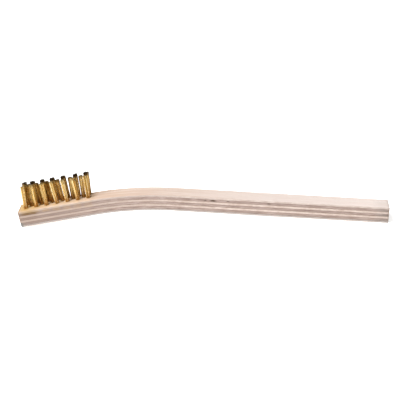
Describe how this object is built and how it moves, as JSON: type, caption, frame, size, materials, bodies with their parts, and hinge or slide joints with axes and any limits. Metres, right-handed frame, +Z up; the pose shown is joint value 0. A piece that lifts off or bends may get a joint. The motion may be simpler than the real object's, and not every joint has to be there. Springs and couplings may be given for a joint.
{
  "type": "wire brush",
  "caption": "Small hand wire brush: a slim laminated wood handle, bent once behind the head, with staggered rows of brass wire tufts for cleaning welds and small metal parts.",
  "frame": {"origin": "middle of the length and width, on the level surface that the two lower end edges rest on", "axes": "+X from the head end to the handle end, +Y from the wide margin of wood beside the tufts to the narrow one, +Z up, the way the tufts point"},
  "size_m": [0.1968, 0.0112, 0.0278],
  "materials": {
    "veneer_long_grain": "bare sanded birch veneer with the grain along the handle",
    "veneer_cross_grain": "bare birch veneer with end grain showing on the sides",
    "brass_wire": "bright drawn brass wire, cut ends dark",
    "anchor_steel": "flat drawn steel wire"
  },
  "bodies": {
    "root": {"face_ply_top": "veneer_long_grain", "core_ply_1": "veneer_cross_grain", "core_ply_2": "veneer_long_grain", "core_ply_3": "veneer_cross_grain", "core_ply_4": "veneer_long_grain", "core_ply_5": "veneer_cross_grain", "face_ply_bottom": "veneer_long_grain", "tuft_front_1": "brass_wire", "tuft_front_2": "brass_wire", "tuft_front_3": "brass_wire", "tuft_front_4": "brass_wire", "tuft_front_5": "brass_wire", "tuft_front_6": "brass_wire", "tuft_front_7": "brass_wire", "tuft_middle_1": "brass_wire", "tuft_middle_2": "brass_wire", "tuft_middle_3": "brass_wire", "tuft_middle_4": "brass_wire", "tuft_middle_5": "brass_wire", "tuft_middle_6": "brass_wire", "tuft_back_1": "brass_wire", "tuft_back_2": "brass_wire", "tuft_back_3": "brass_wire", "tuft_back_4": "brass_wire", "tuft_back_5": "brass_wire", "tuft_back_6": "brass_wire", "tuft_back_7": "brass_wire", "anchor_front_1": "anchor_steel", "anchor_front_2": "anchor_steel", "anchor_front_3": "anchor_steel", "anchor_front_4": "anchor_steel", "anchor_front_5": "anchor_steel", "anchor_front_6": "anchor_steel", "anchor_front_7": "anchor_steel", "anchor_middle_1": "anchor_steel", "anchor_middle_2": "anchor_steel", "anchor_middle_3": "anchor_steel", "anchor_middle_4": "anchor_steel", "anchor_middle_5": "anchor_steel", "anchor_middle_6": "anchor_steel", "anchor_back_1": "anchor_steel", "anchor_back_2": "anchor_steel", "anchor_back_3": "anchor_steel", "anchor_back_4": "anchor_steel", "anchor_back_5": "anchor_steel", "anchor_back_6": "anchor_steel", "anchor_back_7": "anchor_steel"}
  },
  "joints": []
}
